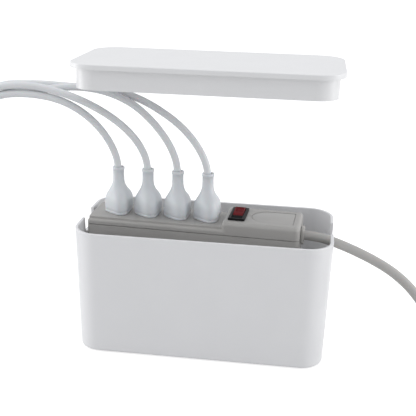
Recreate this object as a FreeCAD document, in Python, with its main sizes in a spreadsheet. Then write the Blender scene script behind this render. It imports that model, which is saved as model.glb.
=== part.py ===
import FreeCAD, Part
import math
import os
import re
import Sketcher

# Cable management box with a power strip, four plugs on it, and a lift-off lid. Millimetres, +Z up.
# The origin is on the surface the box stands on, under the middle of the tub. +X points to the strip's lead,
# -Y to the viewer.

os.makedirs("parts", exist_ok=True)
doc = FreeCAD.newDocument("cable_box")
sheet = doc.addObject("Spreadsheet::Sheet", "Sizes")

sizes = {
    # tub
    "strip_end_gap": 1.7, "lead_room": 24, "tub_width": 117, "rim_height": 119, "tub_corner": 24, "tub_draft": 3,
    "tub_wall": 2.8, "tub_floor": 2.8, "tub_edge_round": 2.4, "tub_foot_lift": 1, "foot_radius": 6,
    "foot_sink": 0.9, "foot_inset": 24, "slot_width": 30, "slot_depth": 15, "slot_round": 5, "rim_soft": 0.6,
    # lid, shown lifted off
    "lid_thick": 4.5, "lid_corner": 24, "lid_lift": 146.4, "lid_skirt": 18, "skirt_inset": 5,
    "skirt_wall": 2.2, "lid_round": 1.2, "lid_rib": 1.6, "lid_rib_drop": 3.5, "seat_gap": 0.2,
    # strip covers, shown raised to the rim
    "strip_end": 24.1, "socket_end": 17.3, "switch_part": 71.2, "strip_middle": -2, "strip_lift": 82,
    "strip_low_height": 29.5, "seam_gap": 0.6, "socket_rise": 6.8, "switch_rise": 12.4, "strip_turn": 3,
    "strip_wall": 2.2, "strip_corner": 4, "left_corner": 2.8, "least_corner": 0.3, "strip_round": 2,
    "ledge_drop": 2, "ledge_inset": 2.6, "ledge_end": 0.9, "ledge_round": 2.5, "platform_corner": 1.6,
    "switch_round": 3.6, "raised_soft": 0.5,
    "lip_height": 2.4, "lip_wall": 1.1, "fit_gap": 0.15, "keyhole_radius": 3.2,
    "keyhole_slot": 1.8, "keyhole_run": 7, "keyhole_place": 62,
    # screws that join the covers
    "screw_radius": 1.25, "screw_head": 2.4, "head_height": 1.8, "post_radius": 3.2, "post_side": 1,
    "post_end_room": 3.2, "post_row": 17.6, "screw_length": 16, "low_boss": 4,
    # sockets, blades and contact bars
    "plug_pitch": 28.7, "blade_spread": 12.7, "blade_thick": 1.5, "blade_wide": 6.35,
    "blade_out": 16, "blade_row": 4, "pin_radius": 2.38, "pin_out": 19, "pin_back": 8, "blade_root": 5,
    "hole_gap": 0.4, "bar_drop": 21, "bar_thick": 0.8, "bar_wide": 4, "thin_bar_wide": 3,
    "bar_end": 12, "clip_leaf": 0.6, "clip_gap": 0.15, "clip_height": 12, "clip_long": 6, "rib_thick": 1.6,
    # surge protection under the switch section
    "board_inset": 26.2, "board_long": 40, "board_wide": 28, "board_thick": 1.6, "board_lift": 10,
    "disc_radius": 7, "disc_thick": 4.5, "disc_pitch": 9, "board_post": 2, "block_long": 18,
    "block_wide": 8, "block_high": 13, "part_gap": 0.05,
    # switch
    "bezel_inset": 12.5, "bezel_wide": 15.5, "bezel_long": 34, "bezel_high": 2, "bezel_skirt": 1,
    "housing_deep": 17, "well_wide": 10, "well_long": 29, "well_floor": 2, "rocker_wide": 9.4,
    "rocker_reach": 14, "pivot_drop": 1.6, "pivot_radius": 1.2, "pivot_long": 1.2, "rocker_rise": 3.2,
    "rocker_crown": 1.8, "rocker_low": 0.5, "rocker_keel": 5, "lamp_radius": 1.5, "lamp_long": 8,
    "tab_wide": 6.3, "tab_thick": 0.8, "tab_long": 5, "tab_pitch": 10,
    # label plate in its recess
    "label_inset": 6.2, "label_long": 40, "label_wide": 32, "label_sink": 0.8, "label_thick": 0.6,
    # strain relief
    "grip_drop": 14.3, "grip_radius": 7.8, "grip_neck": 6, "grip_out": 3.2, "grip_in": 2, "lead_thick": 9,
    # plugs
    "plug_height": 41, "plug_gap": 3.9, "plug_deeper": 3.2, "collar_radius": 5.8,
    "collar_height": 3, "cord_thick": 6.8, "bore_deep": 12, "bore_gap": 0.3,
    # what hangs on the cords' far ends
    "coil_step": 7.6, "coil_inner": 35, "lead_step": 9.6, "lead_coil_outer": 53, "barrel_radius": 3.6,
    "barrel_long": 14, "tip_radius": 2.75, "tip_long": 9, "end_width": 25, "end_height": 24, "end_long": 38,
    "end_neck": 6, "end_round": 3, "end_collar_wall": 1.5, "tie_wide": 10, "tie_wall": 0.8, "tie_gap": 0.2,
    "wrap_long": 12, "wrap_wall": 0.6, "wrap_gap": 0.15,
    "overrun": 1,
}
coil_turns = 3
lead_turns = 4
plugs = range(4)
tolerance = 0.001

for row, (word, value) in enumerate(sizes.items(), start=1):
    sheet.set(f"A{row}", word)
    sheet.set(f"B{row}", str(value))
    sheet.setAlias(f"B{row}", word)
doc.recompute()

# Places worked out from the sizes
worked = {
    "floor_top": "tub_foot_lift + tub_floor",
    "strip_bottom": "floor_top + seat_gap + strip_lift",
    "seam": "strip_bottom + strip_low_height",
    "socket_face": "seam + socket_rise",
    "switch_face": "seam + switch_rise",
    "strip_length": "strip_end + 3 * plug_pitch + socket_end + switch_part",
    "tub_length": "strip_length + strip_end_gap + lead_room + 2 * (tub_wall + tub_draft)",
    "strip_left": "tub_wall + tub_draft + strip_end_gap - tub_length / 2",
    "strip_right": "strip_left + strip_length",
    "strip_centre": "(strip_left + strip_right) / 2",
    "step_place": "strip_right - switch_part",
    "ledge_top": "socket_face - ledge_drop",
    "strip_floor": "strip_bottom + strip_wall",
    "bar_front": "-blade_spread / 2 - thin_bar_wide / 2",
    "bar_back": "blade_spread / 2 + bar_wide / 2",
    "strip_width": "2 * (post_row + post_radius + post_side + strip_wall)",
    "lid_under": "rim_height + seat_gap + lid_lift",
    "lid_top": "lid_under + lid_thick",
    "slot_bottom": "rim_height - slot_depth",
    "bar_base": "socket_face - bar_drop",
    "clip_base": "bar_base + bar_thick",
    "plug_base": "socket_face + part_gap",
    "plug_top": "plug_base + plug_height + collar_height",
    "plug_first": "strip_left + strip_end",
    "plug_last": "plug_first + 3 * plug_pitch",
    "plug_half_width": "(plug_pitch - plug_gap) / 2",
    "bezel_place": "step_place + bezel_inset",
    "label_right": "strip_right - label_inset",
    "board_place": "strip_right - board_inset",
    "post_end": "strip_wall + post_end_room + post_radius",
    "bezel_top": "switch_face + part_gap + bezel_high",
    "pivot_height": "bezel_top - pivot_drop",
    "housing_bottom": "switch_face - housing_deep",
    "grip_height": "switch_face - grip_drop",
    "board_base": "strip_floor + board_lift",
    "board_top": "board_base + board_thick",
}


def full(text):
    """An expression in the sheet's words, with the worked-out places written out."""
    def swap(found):
        word = found.group(0)
        if word in worked:
            return "(" + full(worked[word]) + ")"
        return "Sizes." + word if word in sizes else word
    return re.sub(r"[a-z][a-z_]*", swap, str(text))


gauge = doc.addObject("Spreadsheet::Sheet", "Gauge")


def value(rule):
    """The present value of an expression, to start a sketch near its size."""
    gauge.set("A1", "=" + full(rule))
    gauge.recompute()
    return float(gauge.get("A1"))


def bind(thing, **rules):
    for name, rule in rules.items():
        thing.setExpression(name, full(rule))
    return thing


def place(thing, x=0, y=0, z=0):
    for axis, rule in zip("xyz", (x, y, z)):
        thing.setExpression("Placement.Base." + axis, full(rule))
    return thing


def box(name, long, wide, high, x, y, z):
    """A box centred on x and y, standing on z."""
    thing = bind(doc.addObject("Part::Box", name), Length=long, Width=wide, Height=high)
    return place(thing, f"{x} - ({long}) / 2", f"{y} - ({wide}) / 2", z)


turns = {"x": FreeCAD.Rotation(FreeCAD.Vector(0, 1, 0), 90),
         "y": FreeCAD.Rotation(FreeCAD.Vector(1, 0, 0), -90),
         "z": FreeCAD.Rotation()}


def rod(name, radius, long, x, y, z, axis="z"):
    """A cylinder that starts at the point and runs along the axis."""
    thing = bind(doc.addObject("Part::Cylinder", name), Radius=radius, Height=long)
    thing.Placement.Rotation = turns[axis]
    return place(thing, x, y, z)


def fuse(name, things):
    thing = doc.addObject("Part::MultiFuse", name)
    thing.Shapes = things
    thing.Refine = True
    return thing


def cut(name, base, tools):
    thing = doc.addObject("Part::Cut", name)
    thing.Base = base
    thing.Tool = tools[0] if len(tools) == 1 else fuse(name + "_tools", tools)
    thing.Refine = True
    return thing


def group(name, things, x=0):
    """Separate solids that share one node, moved along X."""
    thing = doc.addObject("Part::Compound", name)
    thing.Links = things
    return place(thing, x)


def outline(name, long, wide, corner, x, y, z):
    """A sketch of a rectangle with round corners, centred on x and y."""
    sketch = doc.addObject("Sketcher::SketchObject", name)
    v = FreeCAD.Vector
    a = value(long) / 2
    b = value(wide) / 2
    r = value(corner)
    up = v(0, 0, 1)

    def arc(cx, cy, start):
        circle = Part.Circle(v(cx, cy, 0), up, r)
        return Part.ArcOfCircle(circle, math.radians(start), math.radians(start + 90))

    sketch.addGeometry([
        Part.LineSegment(v(r - a, -b, 0), v(a - r, -b, 0)), arc(a - r, r - b, -90),
        Part.LineSegment(v(a, r - b, 0), v(a, b - r, 0)), arc(a - r, b - r, 0),
        Part.LineSegment(v(a - r, b, 0), v(r - a, b, 0)), arc(r - a, b - r, 90),
        Part.LineSegment(v(-a, b - r, 0), v(-a, r - b, 0)), arc(r - a, r - b, 180),
    ])
    rule = Sketcher.Constraint
    sketch.addConstraint([rule("Tangent", i, 2, (i + 1) % 8, 1) for i in range(8)])
    sketch.addConstraint([rule("Horizontal", 0), rule("Vertical", 2), rule("Horizontal", 4), rule("Vertical", 6)])
    sketch.addConstraint([rule("Equal", 1, i) for i in (3, 5, 7)])
    sketch.addConstraint(rule("Symmetric", 0, 1, 4, 1, -1, 1))
    for word, kind, size in (("long", "DistanceX", long), ("wide", "DistanceY", wide)):
        first, second = ((6, 1), (2, 1)) if kind == "DistanceX" else ((0, 1), (4, 1))
        index = sketch.addConstraint(rule(kind, *first, *second, 2 * (a if kind == "DistanceX" else b)))
        sketch.renameConstraint(index, word)
        sketch.setExpression("Constraints." + word, full(size))
    index = sketch.addConstraint(rule("Radius", 1, r))
    sketch.renameConstraint(index, "corner")
    sketch.setExpression("Constraints.corner", full(corner))
    return place(sketch, x, y, z)


def slab(name, long, wide, corner, high, x, y, z):
    """An upright plate with round corners in plan."""
    thing = doc.addObject("Part::Extrusion", name)
    thing.Base = outline(name + "_outline", long, wide, corner, x, y, z)
    thing.DirMode = "Custom"
    thing.Dir = FreeCAD.Vector(0, 0, 1)
    thing.Solid = True
    return bind(thing, LengthFwd=high)


def loft(name, sections, ruled):
    thing = doc.addObject("Part::Loft", name)
    thing.Sections = sections
    thing.Solid = True
    thing.Ruled = ruled
    return thing


def rounded(name, base, radius, wanted):
    """The base with the wanted edges rounded."""
    doc.recompute()
    thing = doc.addObject("Part::Fillet", name)
    thing.Base = base
    chosen = [i for i, edge in enumerate(base.Shape.Edges, start=1) if wanted(edge)]
    thing.Edges = [(i, sizes[radius], sizes[radius]) for i in chosen]
    return thing


def level(edge, height):
    """True for an edge that lies flat at a height."""
    box = edge.BoundBox
    return box.ZLength < tolerance and abs(box.ZMin - height) < tolerance


nodes = {}


# tub
def tub_wall_outline(name, inset, height):
    """The tub's plan at a height, with the draft worked in, set inwards by a wall."""
    slope = f"tub_draft * (rim_height - ({height})) / (rim_height - tub_foot_lift)"
    shrink = f"{slope} + {inset}"
    return outline(name, f"tub_length - 2 * ({shrink})", f"tub_width - 2 * ({shrink})",
                   f"tub_corner - ({shrink})", 0, 0, height)


tub_outer = loft("tub_outer", [tub_wall_outline("tub_plan_low", 0, "tub_foot_lift"),
                               tub_wall_outline("tub_plan_rim", 0, "rim_height")], True)
tub_inner = loft("tub_inner", [tub_wall_outline("tub_hollow_low", "tub_wall", "floor_top"),
                               tub_wall_outline("tub_hollow_rim", "tub_wall", "rim_height + overrun")], True)
tub_soft = rounded("tub_soft", tub_outer, "tub_edge_round", lambda e: level(e, sizes["tub_foot_lift"]))
slot_span = "tub_length + 2 * overrun"
slot_top = box("slot_top", slot_span, "slot_width", "slot_depth - slot_round + overrun", 0, 0,
               "slot_bottom + slot_round")
slot_low = box("slot_low", slot_span, "slot_width - 2 * slot_round", "slot_depth", 0, 0, "slot_bottom")
slot_rounds = [rod(f"slot_round_{sign}", "slot_round", slot_span, "-tub_length / 2 - overrun",
                   f"{sign} * (slot_width / 2 - slot_round)", "slot_bottom + slot_round", "x")
               for sign in (-1, 1)]
corners = [(a, b) for a in (-1, 1) for b in (-1, 1)]
foot_x = "(tub_length / 2 - tub_draft - foot_inset)"
foot_y = "(tub_width / 2 - tub_draft - foot_inset)"
foot_seats = [rod(f"foot_seat_{a}_{b}", "foot_radius + part_gap", "foot_sink + overrun", f"{a} * {foot_x}",
                  f"{b} * {foot_y}", "tub_foot_lift - overrun") for a, b in corners]
tub_sharp = cut("tub_sharp", tub_soft, [tub_inner, slot_top, slot_low] + slot_rounds + foot_seats)
nodes["tub"] = rounded("tub_solid", tub_sharp, "rim_soft",
                       lambda e: level(e, sizes["rim_height"]) and e.Length > sizes["tub_wall"] + tolerance)
nodes["tub_feet"] = group("feet", [
    rod(f"foot_{a}_{b}", "foot_radius", "tub_foot_lift + foot_sink - part_gap", f"{a} * {foot_x}",
        f"{b} * {foot_y}", 0) for a, b in corners])

# lid
lid_plate = slab("lid_plate", "tub_length", "tub_width", "lid_corner", "lid_thick", 0, 0, "lid_under")
lid_soft = rounded("lid_soft", lid_plate, "lid_round",
                   lambda e: level(e, value("lid_top")))
skirt_low = "lid_under - lid_skirt"
skirt_outer = slab("skirt_outer", "tub_length - 2 * skirt_inset", "tub_width - 2 * skirt_inset",
                   "lid_corner - skirt_inset", "lid_skirt + lid_thick / 2", 0, 0, skirt_low)
skirt_inner = slab("skirt_inner", "tub_length - 2 * (skirt_inset + skirt_wall)",
                   "tub_width - 2 * (skirt_inset + skirt_wall)", "lid_corner - skirt_inset - skirt_wall",
                   "lid_skirt + overrun", 0, 0, skirt_low + " - overrun")
notch = box("skirt_notch", "tub_length", "slot_width", "lid_skirt + overrun", 0, 0, skirt_low + " - overrun")
lid_shell = cut("lid_shell", fuse("lid_whole", [lid_soft, skirt_outer]), [skirt_inner, notch])
lid_ribs = [box(f"lid_rib_{sign}", "tub_length - 2 * skirt_inset - skirt_wall", "lid_rib",
                "lid_rib_drop + lid_thick / 2", 0, f"{sign} * tub_width / 4", "lid_under - lid_rib_drop")
            for sign in (-1, 1)]
nodes["lid"] = fuse("lid_solid", [lid_shell] + lid_ribs)


# strip covers
def strip_plan(name, inset, high, z):
    """The strip's plan, set inwards: tight corners at the left end, wider ones at the right end."""
    length = f"(strip_length - strip_corner - ({inset}))"
    left = slab(name + "_left", length, f"strip_width - 2 * ({inset})",
                f"max(left_corner - ({inset}); least_corner)", high,
                f"strip_left + ({inset}) + {length} / 2", "strip_middle", z)
    right = slab(name + "_right", f"switch_part - ({inset})", f"strip_width - 2 * ({inset})",
                 f"max(strip_corner - ({inset}); least_corner)", high,
                 f"strip_right - ({inset}) - (switch_part - ({inset})) / 2", "strip_middle", z)
    return fuse(name, [left, right])


def right_part(name, inset, high, z):
    """The raised switch section: a block with the strip's own corners at its right end."""
    return slab(name, f"switch_part - 2 * ({inset})", f"strip_width - 2 * ({inset})",
                f"strip_corner - ({inset})", high, "strip_right - switch_part / 2", "strip_middle", z)


post_places = [("strip_left + post_end", b) for b in (-1, 1)]
post_places += [("plug_first + 1.5 * plug_pitch", b) for b in (-1, 1)]
post_places += [("strip_right - post_end", b) for b in (-1, 1)]
post_faces = ["socket_face"] * 4 + ["switch_face"] * 2
plug_places = [f"(plug_first + {i} * plug_pitch)" for i in plugs]

platform_long = "(step_place - strip_left - ledge_end + strip_corner)"
ledge_block = rounded("ledge_block", strip_plan("upper_low", 0, "socket_rise - ledge_drop", "seam"),
                      "ledge_round", lambda e: level(e, value("ledge_top")))
platform = rounded("socket_platform",
                   slab("socket_raised", platform_long, "strip_width - 2 * ledge_inset", "platform_corner",
                        "socket_rise", f"strip_left + ledge_end + {platform_long} / 2", "strip_middle", "seam"),
                   "raised_soft", lambda e: level(e, value("socket_face")))
switch_block = rounded("switch_block", right_part("upper_raised", 0, "switch_rise", "seam"), "switch_round",
                       lambda e: level(e, value("switch_face")))
upper_soft = fuse("upper_block", [ledge_block, platform, switch_block])
upper_hollow = [strip_plan("upper_hollow_low", "strip_wall", "socket_rise - ledge_drop - strip_wall + overrun",
                           "seam - overrun"),
                strip_plan("upper_hollow_middle", "ledge_inset + strip_wall",
                           "socket_rise - strip_wall + overrun", "seam - overrun"),
                right_part("upper_hollow_high", "strip_wall", "switch_rise - strip_wall + overrun",
                           "seam - overrun")]
socket_cuts = []
for i, place_x in zip(plugs, plug_places):
    for side in (-1, 1):
        socket_cuts.append(box(f"blade_slot_{i}_{side}", "blade_wide + 2 * hole_gap",
                               "blade_thick + 2 * hole_gap", "strip_wall + 2 * overrun",
                               f"{place_x} + blade_row", f"strip_middle + {side} * blade_spread / 2",
                               "socket_face - strip_wall - overrun"))
    socket_cuts.append(rod(f"pin_hole_{i}", "pin_radius + hole_gap", "strip_wall + 2 * overrun",
                           f"{place_x} - pin_back", "strip_middle", "socket_face - strip_wall - overrun"))
window = box("switch_window", "bezel_wide - 2 * bezel_skirt + 2 * fit_gap",
             "bezel_long - 2 * bezel_skirt + 2 * fit_gap", "strip_wall + 2 * overrun", "bezel_place",
             "strip_middle", "switch_face - strip_wall - overrun")
grip_hole = rod("grip_hole", "grip_neck + fit_gap", "strip_wall + 2 * overrun",
                "strip_right - strip_wall - overrun", "strip_middle", "grip_height", "x")


def label_shape(name, inset, high, z):
    """The label's D: a half round at the left and a square end at the right."""
    reach = f"(label_wide / 2 - ({inset}))"
    centre = "(label_right - label_long + label_wide / 2)"
    square = f"(label_right - ({inset}) - {centre})"
    return fuse(name, [rod(name + "_round", reach, high, centre, "strip_middle", z),
                       box(name + "_square", square, f"2 * {reach}", high, f"{centre} + {square} / 2",
                           "strip_middle", z)])


label_recess = label_shape("label_recess", 0, "label_sink + overrun", "switch_face - label_sink")
posts = [rod(f"upper_post_{i}", "post_radius",
             f"{post_faces[i]} - strip_wall / 2 - (strip_floor + low_boss + part_gap)", x,
             f"strip_middle + {b} * post_row", "strip_floor + low_boss + part_gap")
         for i, (x, b) in enumerate(post_places)]
post_bores = [rod(f"post_bore_{i}", "screw_radius + part_gap", "screw_length", x,
                  f"strip_middle + {b} * post_row", "strip_floor + low_boss")
              for i, (x, b) in enumerate(post_places)]
upper_shell = cut("upper_shell", upper_soft, upper_hollow)
nodes["strip_upper"] = cut("strip_upper_solid", fuse("upper_posted", [upper_shell] + posts),
                           socket_cuts + [window, grip_hole, label_recess] + post_bores)

lower_block = strip_plan("lower_block", 0, "strip_low_height - seam_gap", "strip_bottom")
lower_soft = rounded("lower_soft", lower_block, "strip_round", lambda e: level(e, value("strip_bottom")))
lower_lip = cut("lower_lip", strip_plan("lip_outer", "strip_wall + fit_gap", "lip_height + lip_wall",
                                        "seam - lip_wall"),
                [strip_plan("lip_inner", "strip_wall + fit_gap + lip_wall", "lip_height + 3 * lip_wall",
                            "seam - 2 * lip_wall")])
lower_hollow = strip_plan("lower_hollow", "strip_wall", "strip_low_height", "strip_floor")
lip_root = cut("lip_root", strip_plan("root_outer", "strip_wall / 2", "lip_height", "seam - seam_gap - lip_height"),
               [strip_plan("root_inner", "strip_wall + fit_gap + lip_wall", "lip_height + 2 * overrun",
                           "seam - seam_gap - lip_height - overrun")])
rib_places = [f"(plug_first + {i - 0.5} * plug_pitch)" for i in range(5)]
ribs = [box(f"bar_rib_{i}", "rib_thick", "bar_back - bar_front",
            "bar_base - part_gap - strip_floor + strip_wall / 2", x,
            "strip_middle + (bar_back + bar_front) / 2", "strip_floor - strip_wall / 2")
        for i, x in enumerate(rib_places)]
bosses = [rod(f"lower_boss_{i}", "post_radius", "low_boss + strip_wall / 2", x,
              f"strip_middle + {b} * post_row", "strip_floor - strip_wall / 2")
          for i, (x, b) in enumerate(post_places)]
board_posts = [rod(f"board_post_{a}_{b}", "board_post", "board_lift - part_gap + strip_wall / 2",
                   f"board_place + {a} * (board_long / 2 - 2 * board_post)",
                   f"strip_middle + {b} * (board_wide / 2 - 2 * board_post)", "strip_floor - strip_wall / 2")
               for a, b in corners]
head_bores = [rod(f"head_bore_{i}", "screw_head + fit_gap", "head_height + fit_gap + overrun", x,
                  f"strip_middle + {b} * post_row", "strip_bottom - overrun")
              for i, (x, b) in enumerate(post_places)]
shank_bores = [rod(f"shank_bore_{i}", "screw_radius + fit_gap", "strip_wall + low_boss + 2 * overrun", x,
                   f"strip_middle + {b} * post_row", "strip_bottom - overrun")
               for i, (x, b) in enumerate(post_places)]
keyholes = []
for sign in (-1, 1):
    middle = f"strip_centre + {sign} * keyhole_place"
    keyholes.append(rod(f"keyhole_{sign}", "keyhole_radius", "strip_wall + 2 * overrun", middle,
                        "strip_middle", "strip_bottom - overrun"))
    keyholes.append(box(f"keyhole_slot_{sign}", "keyhole_run", "2 * keyhole_slot", "strip_wall + 2 * overrun",
                        f"{middle} + keyhole_run / 2", "strip_middle", "strip_bottom - overrun"))
lower_shell = cut("lower_shell", lower_soft, [lower_hollow])
lower_whole = fuse("lower_whole", [lower_shell, lower_lip, lip_root] + ribs + bosses + board_posts)
lip_gap = [rod(f"lip_gap_{i}", "post_radius + fit_gap", "socket_rise + lip_height",
               x, f"strip_middle + {b} * post_row", "seam - 2 * lip_height")
           for i, (x, b) in enumerate(post_places)]
grip_lip = box("grip_lip", "2 * (strip_wall + lip_wall + grip_in + fit_gap)",
               "2 * (grip_radius + fit_gap)", "2 * lip_height + grip_radius", "strip_right", "strip_middle",
               "seam - seam_gap")
grip_room = rod("grip_room", "grip_radius + fit_gap", "grip_in + lip_wall + 2 * fit_gap",
                "strip_right - strip_wall - grip_in - lip_wall - 2 * fit_gap", "strip_middle", "grip_height", "x")
grip_through = rod("grip_through", "grip_neck + fit_gap", "strip_wall + 2 * overrun",
                   "strip_right - strip_wall - overrun", "strip_middle", "grip_height", "x")
nodes["strip_lower"] = cut("strip_lower_solid", lower_whole,
                           head_bores + shank_bores + keyholes + lip_gap + [grip_room, grip_through, grip_lip])

# screws from below
screws = []
for i, (x, b) in enumerate(post_places):
    y = f"strip_middle + {b} * post_row"
    head = rod(f"screw_head_{i}", "screw_head", "head_height", x, y, "strip_bottom + part_gap")
    shank = rod(f"screw_shank_{i}", "screw_radius", "screw_length", x, y, "strip_bottom + part_gap")
    screws.append(fuse(f"screw_{i}", [head, shank]))
nodes["strip_screws"] = group("screws", screws)


# contact bars: a flat bar under each row of blades with two leaves for each blade, and one under the earth pins
def bar(name, side, wide):
    return box(name, "plug_last - plug_first + 2 * bar_end", wide, "bar_thick",
               "(plug_first + plug_last) / 2", f"strip_middle + ({side}) * blade_spread / 2", "bar_base")


def blade_bar(name, side, wide):
    """The bar for one side's blades, with a leaf before and behind each blade."""
    pieces = [bar(name + "_bar", side, wide)]
    reach = "(blade_thick / 2 + clip_gap + clip_leaf / 2)"
    for i, x in zip(plugs, plug_places):
        pieces += [box(f"{name}_leaf_{i}_{s}", "clip_long", "clip_leaf", "clip_height + bar_thick",
                       f"{x} + blade_row", f"strip_middle + ({side}) * blade_spread / 2 + {s} * {reach}",
                       "bar_base") for s in (-1, 1)]
    return fuse(name, pieces)


nodes["bar_live"] = blade_bar("live", 1, "bar_wide")
nodes["bar_neutral"] = blade_bar("neutral", -1, "thin_bar_wide")
earth = [bar("earth_bar", 0, "thin_bar_wide")]
earth_cuts = []
for i, x in zip(plugs, plug_places):
    earth.append(rod(f"earth_ring_{i}", "pin_radius + clip_gap + clip_leaf", "clip_height + bar_thick",
                     f"{x} - pin_back", "strip_middle", "bar_base"))
    earth_cuts.append(rod(f"earth_bore_{i}", "pin_radius + clip_gap", "clip_height + bar_thick",
                          f"{x} - pin_back", "strip_middle", "clip_base"))
nodes["bar_earth"] = cut("earth", fuse("earth_whole", earth), earth_cuts)

# surge protection
board = box("board", "board_long", "board_wide", "board_thick", "board_place", "strip_middle", "board_base")
nodes["surge_board"] = group("surge", [board])
nodes["varistors"] = group("discs", [
    rod(f"disc_{i}", "disc_radius", "disc_thick", f"board_place + {i} * disc_pitch - disc_thick / 2",
        "strip_middle + board_wide / 4", "board_top + part_gap + disc_radius", "x") for i in (-1, 0, 1)])
nodes["noise_capacitor"] = group("capacitor", [
    box("capacitor_block", "block_long", "block_wide", "block_high", "board_place",
        "strip_middle - board_wide / 4", "board_top + part_gap")])

# switch housing with its bezel and rocker well
housing = fuse("housing", [
    box("bezel", "bezel_wide", "bezel_long", "bezel_high", "bezel_place", "strip_middle",
        "switch_face + part_gap"),
    box("housing_body", "bezel_wide - 2 * bezel_skirt", "bezel_long - 2 * bezel_skirt",
        "housing_deep + bezel_high / 2", "bezel_place", "strip_middle", "housing_bottom")])
well = box("rocker_well", "well_wide", "well_long", "bezel_top - housing_bottom - well_floor + overrun",
           "bezel_place", "strip_middle", "housing_bottom + well_floor")
pivot_hole = rod("pivot_hole", "pivot_radius + fit_gap", "well_wide + 2 * (pivot_long - fit_gap)",
                 "bezel_place - well_wide / 2 - pivot_long + fit_gap", "strip_middle", "pivot_height", "x")
tab_slots = [box(f"tab_slot_{i}", "tab_wide + 2 * part_gap", "tab_thick + 2 * part_gap",
                 "well_floor + 2 * overrun", "bezel_place", f"strip_middle + {i} * tab_pitch",
                 "housing_bottom - overrun") for i in (-1, 0, 1)]
nodes["switch_housing"] = cut("switch_housing_solid", housing, [well, pivot_hole] + tab_slots)
nodes["switch_terminals"] = group("terminals", [
    box(f"terminal_{i}", "tab_wide", "tab_thick", "tab_long + well_floor", "bezel_place",
        f"strip_middle + {i} * tab_pitch", "housing_bottom - tab_long") for i in (-1, 0, 1)])
nodes["switch_lamp"] = group("lamp", [
    rod("lamp_glass", "lamp_radius", "lamp_long", "bezel_place - lamp_long / 2", "strip_middle + tab_pitch / 2",
        "housing_bottom + well_floor + part_gap + lamp_radius", "x")])

# rocker: its side outline, cut by a round of its reach so that the ends clear the well
side = doc.addObject("Sketcher::SketchObject", "rocker_side")
side.Placement.Rotation = FreeCAD.Rotation(FreeCAD.Vector(1, 1, 1), 120)
rocker_outline = [
    ("-rocker_reach - overrun", "-rocker_low"), ("0", "rocker_crown"), ("rocker_reach + overrun", "rocker_rise"),
    ("rocker_reach + overrun", "0"), ("rocker_keel / 2", "-rocker_keel"), ("-rocker_keel / 2", "-rocker_keel"),
    ("-rocker_reach - overrun", "-rocker_keel + rocker_low"),
]
rough = [(value(across), value(height)) for across, height in rocker_outline]
for i, start in enumerate(rough):
    end = rough[(i + 1) % len(rough)]
    side.addGeometry(Part.LineSegment(FreeCAD.Vector(*start, 0), FreeCAD.Vector(*end, 0)))
for i in range(len(rough)):
    side.addConstraint(Sketcher.Constraint("Coincident", i, 2, (i + 1) % len(rough), 1))
for i, (across, height) in enumerate(rocker_outline):
    for kind, rule, rest in (("DistanceX", across, rough[i][0]), ("DistanceY", height, rough[i][1])):
        index = side.addConstraint(Sketcher.Constraint(kind, -1, 1, i, 1, rest))
        side.renameConstraint(index, f"{kind}_{i}")
        side.setExpression(f"Constraints.{kind}_{i}", full(rule))
place(side, "bezel_place - rocker_wide / 2", "strip_middle", "pivot_height")
rocker_bar = doc.addObject("Part::Extrusion", "rocker_bar")
rocker_bar.Base = side
rocker_bar.DirMode = "Custom"
rocker_bar.Dir = FreeCAD.Vector(1, 0, 0)
rocker_bar.Solid = True
bind(rocker_bar, LengthFwd="rocker_wide")
rocker_round = rod("rocker_round", "rocker_reach", "rocker_wide + 2 * overrun",
                   "bezel_place - rocker_wide / 2 - overrun", "strip_middle", "pivot_height", "x")
rocker_cap = doc.addObject("Part::Common", "rocker_cap")
rocker_cap.Base = rocker_bar
rocker_cap.Tool = rocker_round
pivot = rod("rocker_pivot", "pivot_radius", "well_wide + pivot_long",
            "bezel_place - (well_wide + pivot_long) / 2", "strip_middle", "pivot_height", "x")
nodes["switch_rocker"] = fuse("rocker", [rocker_cap, pivot])

# label plate and strain relief
nodes["label_plate"] = label_shape("label", "fit_gap", "label_thick", "switch_face - label_sink + part_gap")
grip_start = "(strip_right - strip_wall - grip_in - part_gap)"
grip_pieces = [
    rod("grip_outer_ring", "grip_radius", "grip_out", "strip_right + part_gap", "strip_middle", "grip_height", "x"),
    rod("grip_sleeve", "grip_neck", "strip_wall + grip_in + grip_out / 2", grip_start, "strip_middle",
        "grip_height", "x"),
    rod("grip_inner_ring", "grip_radius - fit_gap", "grip_in", grip_start, "strip_middle", "grip_height", "x")]
grip_bore = rod("grip_bore", "lead_thick / 2 + fit_gap", "strip_wall + grip_in + grip_out + 2 * overrun",
                grip_start + " - overrun", "strip_middle", "grip_height", "x")
nodes["cord_grip"] = cut("grip", fuse("grip_whole", grip_pieces), [grip_bore])


# plugs: a bottle shape through ellipses, a collar, two blades and an earth pin
def ellipse(name, across, deep, z):
    ring = bind(doc.addObject("Part::Ellipse", name), MajorRadius=deep, MinorRadius=across)
    ring.Placement.Rotation = FreeCAD.Rotation(FreeCAD.Vector(0, 0, 1), 90)
    return place(ring, 0, "strip_middle", z)


# height, half width and how much deeper than wide, as shares of the plug's own
plug_shares = [(0, 0.97, 0.97), (0.06, 1, 1), (0.25, 1, 1), (0.34, 0.98, 0.96), (0.41, 0.92, 0.88),
               (0.5, 0.78, 0.64), (0.59, 0.615, 0.35), (0.68, 0.49, 0.12), (0.76, 0.44, 0.03),
               (0.88, 0.43, 0.01), (1, 0.43, 0.01)]
plug_rings = [ellipse(f"plug_ring_{i}", f"plug_half_width * {a}", f"plug_half_width * {a} + plug_deeper * {d}",
                      f"plug_base + plug_height * {up}") for i, (up, a, d) in enumerate(plug_shares)]
bottle = loft("plug_bottle", plug_rings, False)
collar = rod("plug_collar", "collar_radius", "collar_height + plug_height / 9", 0, "strip_middle",
             "plug_base + plug_height - plug_height / 9")
cord_bore = rod("plug_bore", "cord_thick / 2 + bore_gap", "bore_deep + overrun", 0, "strip_middle",
                "plug_top - bore_deep")
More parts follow.
